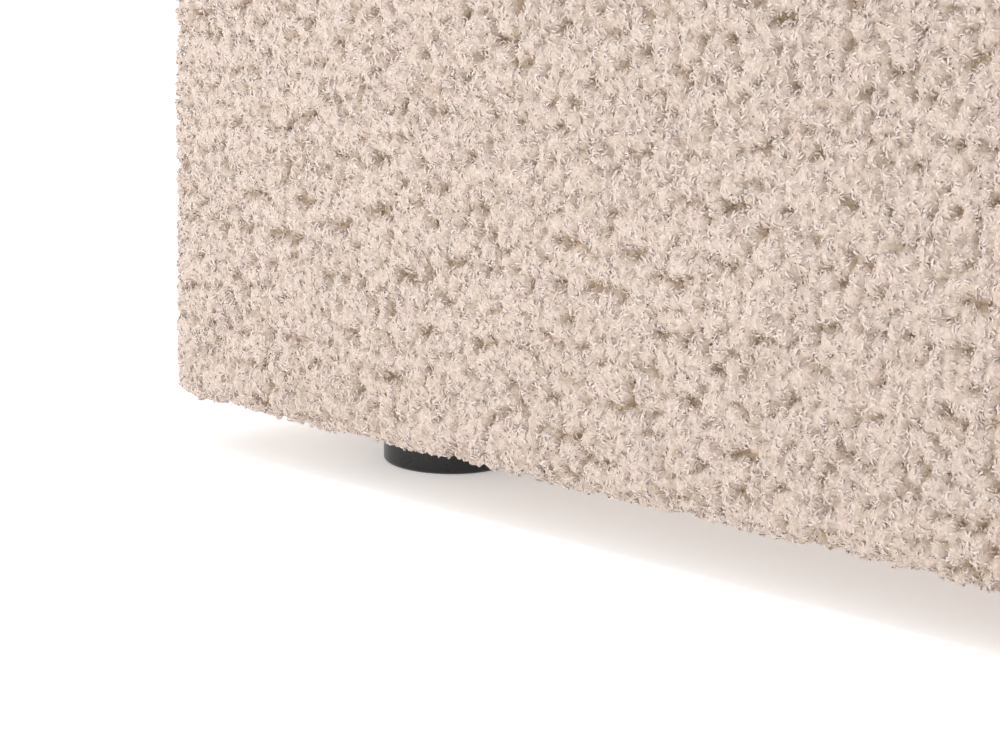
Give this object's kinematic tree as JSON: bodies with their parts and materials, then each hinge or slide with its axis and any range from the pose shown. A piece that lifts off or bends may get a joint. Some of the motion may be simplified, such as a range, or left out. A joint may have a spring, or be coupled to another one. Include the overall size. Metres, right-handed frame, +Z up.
{
  "type": "upholstered headboard bed",
  "caption": "Low upholstered bed frame with a plain padded headboard, boxy looped-fabric rails on low disc feet, and a slatted base on a centre beam with levelling legs.",
  "frame": {"origin": "on the floor, under the middle of the bed's overall box", "axes": "+Z up, +Y towards the headboard, +X towards the right side seen from the foot end"},
  "size_m": [1.8, 2.21, 1.08],
  "materials": {
    "boucle": "matte",
    "foam": "matte",
    "plywood": "matte",
    "pine": "satin",
    "back_lining": "matte",
    "black_plastic": "satin",
    "zinc_steel": "satin"
  },
  "bodies": {
    "bed": {"footboard_cover": "boucle", "headboard_cover": "boucle", "side_rail_left_cover": "boucle", "side_rail_right_cover": "boucle", "footboard_foam": "foam", "headboard_foam": "foam", "side_rail_left_foam": "foam", "side_rail_right_foam": "foam", "footboard_beam": "plywood", "headboard_lower_beam": "plywood", "headboard_front_board": "plywood", "side_rail_left_beam": "plywood", "side_rail_right_beam": "plywood", "headboard_stile_left": "pine", "headboard_stile_right": "pine", "headboard_top_rail": "pine", "headboard_middle_rail": "pine", "headboard_bottom_rail": "pine", "slat_ledge_left": "pine", "slat_ledge_right": "pine", "centre_beam": "pine", "slat_01": "pine", "slat_02": "pine", "slat_03": "pine", "slat_04": "pine", "slat_05": "pine", "slat_06": "pine", "slat_07": "pine", "slat_08": "pine", "slat_09": "pine", "slat_10": "pine", "slat_11": "pine", "slat_12": "pine", "headboard_back_lining": "back_lining", "foot_front_left": "black_plastic", "foot_front_right": "black_plastic", "foot_middle_left": "black_plastic", "foot_middle_right": "black_plastic", "foot_back_left": "black_plastic", "foot_back_right": "black_plastic", "support_leg_1": "black_plastic", "support_leg_2": "black_plastic", "support_leg_3": "black_plastic", "corner_bracket_foot_left": "zinc_steel", "corner_bracket_foot_right": "zinc_steel", "corner_bracket_head_left": "zinc_steel", "corner_bracket_head_right": "zinc_steel", "beam_shoe_foot": "zinc_steel", "beam_shoe_head": "zinc_steel", "bolt_foot_left_lower": "zinc_steel", "bolt_foot_left_upper": "zinc_steel", "bolt_foot_right_lower": "zinc_steel", "bolt_foot_right_upper": "zinc_steel", "bolt_head_left_lower": "zinc_steel", "bolt_head_left_upper": "zinc_steel", "bolt_head_right_lower": "zinc_steel", "bolt_head_right_upper": "zinc_steel"},
    "glide_1": {"support_glide_1": "black_plastic"},
    "glide_2": {"support_glide_2": "black_plastic"},
    "glide_3": {"support_glide_3": "black_plastic"}
  },
  "joints": [
    {"name": "glide_1_height", "type": "slide", "parent": "bed", "child": "glide_1", "axis": [0, 0, 1], "range_m": [0, 0.015]},
    {"name": "glide_2_height", "type": "slide", "parent": "bed", "child": "glide_2", "axis": [0, 0, 1], "range_m": [0, 0.015]},
    {"name": "glide_3_height", "type": "slide", "parent": "bed", "child": "glide_3", "axis": [0, 0, 1], "range_m": [0, 0.015]}
  ]
}
